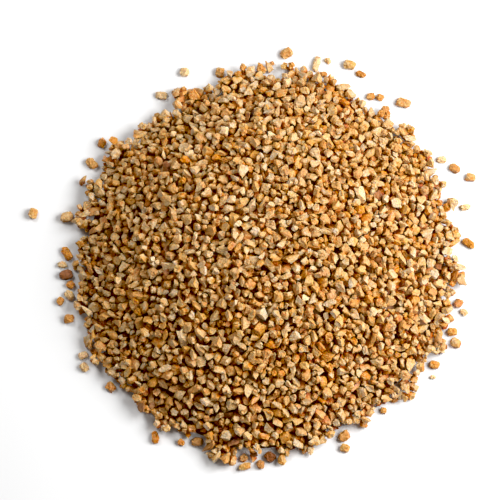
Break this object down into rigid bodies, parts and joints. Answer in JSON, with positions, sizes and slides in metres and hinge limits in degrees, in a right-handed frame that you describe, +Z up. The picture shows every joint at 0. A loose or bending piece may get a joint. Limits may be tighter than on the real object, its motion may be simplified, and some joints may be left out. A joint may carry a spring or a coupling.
{
  "type": "heap of chopped peanut brittle",
  "caption": "Poured round heap of chopped golden peanut brittle nibs with loose nibs scattered round its edge, lying on a flat surface.",
  "frame": {"origin": "the middle of the heap's flat underside, on the surface that the heap and the loose nibs lie on", "axes": "+Z up, -Y towards the picture's lower edge (the front), +X to the picture's right"},
  "size_m": [0.1493, 0.1452, 0.0281],
  "materials": {
    "heaped_nibs": "uneven golden crumb, semi-gloss sugar",
    "golden_nib": "golden roasted crumb in sugar, semi-gloss",
    "pale_nib": "pale cut peanut, satin",
    "amber_nib": "clear amber caramel, glossy",
    "toasted_nib": "toasted brown crumb, semi-gloss",
    "skin_nib": "dark peanut skin, satin"
  },
  "bodies": {
    "root": {"heap": "heaped_nibs", "loose_nib_01": "amber_nib", "loose_nib_02": "amber_nib", "loose_nib_03": "pale_nib", "loose_nib_04": "pale_nib", "loose_nib_05": "toasted_nib", "loose_nib_06": "toasted_nib", "loose_nib_07": "pale_nib", "loose_nib_08": "amber_nib", "loose_nib_09": "skin_nib", "loose_nib_10": "pale_nib", "loose_nib_11": "amber_nib", "loose_nib_12": "golden_nib", "loose_nib_13": "golden_nib", "loose_nib_14": "golden_nib", "loose_nib_15": "amber_nib", "loose_nib_16": "pale_nib", "loose_nib_17": "pale_nib", "loose_nib_18": "golden_nib", "loose_nib_19": "golden_nib", "loose_nib_20": "pale_nib", "loose_nib_21": "toasted_nib", "loose_nib_22": "pale_nib", "loose_nib_23": "golden_nib", "loose_nib_24": "toasted_nib", "loose_nib_25": "golden_nib", "loose_nib_26": "golden_nib", "loose_nib_27": "golden_nib", "loose_nib_28": "pale_nib", "loose_nib_29": "toasted_nib", "loose_nib_30": "golden_nib", "loose_nib_31": "pale_nib", "loose_nib_32": "toasted_nib", "loose_nib_33": "amber_nib", "loose_nib_34": "pale_nib", "loose_nib_35": "golden_nib", "loose_nib_36": "golden_nib", "loose_nib_37": "golden_nib", "loose_nib_38": "pale_nib", "loose_nib_39": "golden_nib", "loose_nib_40": "toasted_nib", "loose_nib_41": "golden_nib", "loose_nib_42": "skin_nib", "loose_nib_43": "toasted_nib", "loose_nib_44": "golden_nib", "loose_nib_45": "golden_nib", "loose_nib_46": "toasted_nib", "loose_nib_47": "amber_nib"}
  },
  "joints": []
}
